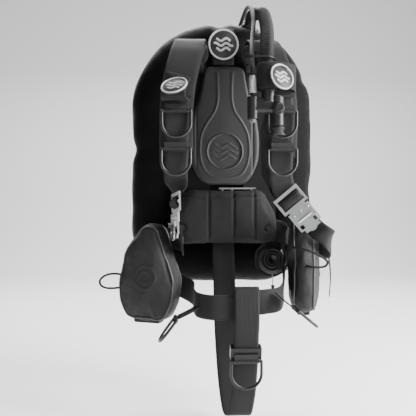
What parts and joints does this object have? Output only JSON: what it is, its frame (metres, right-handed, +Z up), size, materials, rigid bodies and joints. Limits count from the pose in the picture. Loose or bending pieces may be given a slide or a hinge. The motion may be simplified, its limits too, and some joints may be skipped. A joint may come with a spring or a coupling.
{
  "type": "diving buoyancy pack",
  "caption": "Diver's back-mounted buoyancy pack: ring-shaped air cell, steel back plate, padded harness, corrugated inflator hose, dump valve, quick-release buckles and drop-out weight pouches.",
  "frame": {"origin": "halfway between the two tank-bolt holes, on the rear face of the back plate's spine", "axes": "+Z up the wearer's back, +Y away from the wearer towards the tank, +X to the wearer's left, the side that carries the inflator"},
  "size_m": [0.5207, 0.3307, 0.9109],
  "materials": {
    "shell_fabric": "coated woven nylon, satin",
    "bladder_film": "smooth film",
    "black_plastic": "satin moulded",
    "grey_button": "satin moulded",
    "rubber_hose": "matt moulded rubber",
    "stainless": "brushed",
    "dark_steel": "satin, darkened",
    "spring_steel": "drawn wire",
    "valve_seal": "smooth moulded",
    "light_cord": "braided cord",
    "black_cord": "braided cord",
    "moulded_rubber": "satin moulded",
    "padding": "spacer mesh and knit",
    "webbing": "woven nylon webbing",
    "pocket_fabric": "heavy woven nylon",
    "pouch_fabric": "heavy woven nylon"
  },
  "bodies": {
    "pack": {"wing_shell": "shell_fabric", "wing_bladder": "bladder_film", "wing_panel": "shell_fabric", "wing_grommets": "dark_steel", "wing_elbow": "black_plastic", "corrugated_hose": "rubber_hose", "lp_hose": "rubber_hose", "lp_hose_end": "stainless", "hose_bands": "black_plastic", "inflator_body": "black_plastic", "mouthpiece": "rubber_hose", "inflate_spring": "spring_steel", "deflate_spring": "spring_steel", "dump_body": "black_plastic", "dump_cap": "black_plastic", "dump_spring": "spring_steel", "backplate": "dark_steel", "plate_bar": "stainless", "back_pad": "moulded_rubber", "back_emblem": "moulded_rubber", "top_handle": "webbing", "top_badge": "moulded_rubber", "lumbar_pad": "padding", "pad_screws": "black_plastic", "shoulder_pad_l": "padding", "shoulder_pad_r": "padding", "shoulder_strap_l": "webbing", "shoulder_strap_r": "webbing", "badge_l": "moulded_rubber", "badge_r": "moulded_rubber", "ring_keepers": "webbing", "buckle_frames": "stainless", "buckle_tongues": "stainless", "buckle_rivets": "stainless", "lower_straps": "webbing", "waist_belt_l": "webbing", "waist_belt_r": "webbing", "weight_pocket_l": "pocket_fabric", "weight_pocket_r": "pocket_fabric", "pull_loop_l": "black_cord", "pull_loop_r": "black_cord", "crotch_strap": "webbing"},
    "ring_upper_l": {"ring_upper_l": "dark_steel"},
    "ring_upper_r": {"ring_upper_r": "dark_steel"},
    "ring_lower_l": {"ring_lower_l": "dark_steel"},
    "ring_lower_r": {"ring_lower_r": "dark_steel"},
    "ring_waist_l": {"ring_waist_l": "dark_steel"},
    "ring_waist_r": {"ring_waist_r": "dark_steel"},
    "crotch_slider": {"crotch_slider": "black_plastic"},
    "crotch_ring": {"crotch_ring": "black_plastic"},
    "inflate_button": {"inflate_button": "grey_button"},
    "deflate_button": {"deflate_button": "black_plastic"},
    "dump_pull": {"dump_cord": "light_cord", "dump_knob": "black_plastic"},
    "dump_poppet": {"dump_poppet": "valve_seal"},
    "lp_coupling": {"lp_coupling": "stainless"},
    "buckle_lever_l": {"buckle_lever_l": "stainless"},
    "buckle_lever_r": {"buckle_lever_r": "stainless"},
    "weight_pouch_l": {"weight_pouch_l": "pouch_fabric"},
    "weight_pouch_r": {"weight_pouch_r": "pouch_fabric"}
  },
  "joints": [
    {"name": "ring_upper_l_swing", "type": "hinge", "parent": "pack", "child": "ring_upper_l", "pos_m": [-0.11, -0.1555, 0.064], "axis": [-1, 0, 0], "range_deg": [0, 70]},
    {"name": "ring_upper_r_swing", "type": "hinge", "parent": "pack", "child": "ring_upper_r", "pos_m": [0.11, -0.1555, 0.064], "axis": [-1, 0, 0], "range_deg": [0, 6]},
    {"name": "ring_lower_l_swing", "type": "hinge", "parent": "pack", "child": "ring_lower_l", "pos_m": [-0.111, -0.1515, -0.014], "axis": [-1, 0, 0], "range_deg": [0, 120]},
    {"name": "ring_lower_r_swing", "type": "hinge", "parent": "pack", "child": "ring_lower_r", "pos_m": [0.111, -0.1515, -0.014], "axis": [-1, 0, 0], "range_deg": [0, 120]},
    {"name": "ring_waist_l_swing", "type": "hinge", "parent": "pack", "child": "ring_waist_l", "pos_m": [-0.112, -0.178, -0.36], "axis": [0, 1, 0], "range_deg": [-30, 16]},
    {"name": "ring_waist_r_swing", "type": "hinge", "parent": "pack", "child": "ring_waist_r", "pos_m": [0.128, -0.205, -0.338], "axis": [0, -1, 0], "range_deg": [0, 90]},
    {"name": "crotch_slider_slide", "type": "slide", "parent": "pack", "child": "crotch_slider", "axis": [0, -0.225, 0.9744], "range_m": [-0.01, 0.012]},
    {"name": "crotch_ring_swing", "type": "hinge", "parent": "crotch_slider", "child": "crotch_ring", "pos_m": [0.028, -0.209, -0.44], "axis": [-1, 0, 0], "range_deg": [0, 100]},
    {"name": "inflate_press", "type": "slide", "parent": "pack", "child": "inflate_button", "axis": [0, 0, 1], "range_m": [0, 0.0035], "stiffness_N_per_m": 300, "springref_m": -0.004, "deforming": ["inflate_spring"]},
    {"name": "deflate_press", "type": "slide", "parent": "pack", "child": "deflate_button", "axis": [0, 1, 0], "range_m": [0, 0.0035], "stiffness_N_per_m": 300, "springref_m": -0.004},
    {"name": "dump_cord_pull", "type": "slide", "parent": "pack", "child": "dump_pull", "axis": [0, 0, -1], "range_m": [0, 0.006], "stiffness_N_per_m": 200, "springref_m": -0.006},
    {"name": "dump_poppet_lift", "type": "slide", "parent": "pack", "child": "dump_poppet", "axis": [0, -1, 0], "range_m": [0, 0.004]},
    {"name": "lp_sleeve_slide", "type": "slide", "parent": "pack", "child": "lp_coupling", "axis": [0, 0, 1], "range_m": [0, 0.004], "stiffness_N_per_m": 500, "springref_m": -0.004},
    {"name": "buckle_l_release", "type": "hinge", "parent": "pack", "child": "buckle_lever_l", "pos_m": [-0.11804, -0.14041, -0.17063], "axis": [-0.2574, 0.9606, -0.1045], "range_deg": [0, 60], "stiffness_Nm_per_rad": 0.04, "springref_deg": -34.38},
    {"name": "buckle_r_release", "type": "hinge", "parent": "pack", "child": "buckle_lever_r", "pos_m": [0.15832, -0.15132, -0.15532], "axis": [-0.7433, 0.1853, -0.6428], "range_deg": [0, 60], "stiffness_Nm_per_rad": 0.04, "springref_deg": -34.38},
    {"name": "weight_l_pull", "type": "slide", "parent": "pack", "child": "weight_pouch_l", "axis": [0, 0, -1], "range_m": [0, 0.15]},
    {"name": "weight_r_pull", "type": "slide", "parent": "pack", "child": "weight_pouch_r", "axis": [0, 0, -1], "range_m": [0, 0.15]}
  ],
  "couplings": [
    {"joint": "dump_poppet_lift", "follows": "dump_cord_pull", "ratio": 0.66}
  ]
}
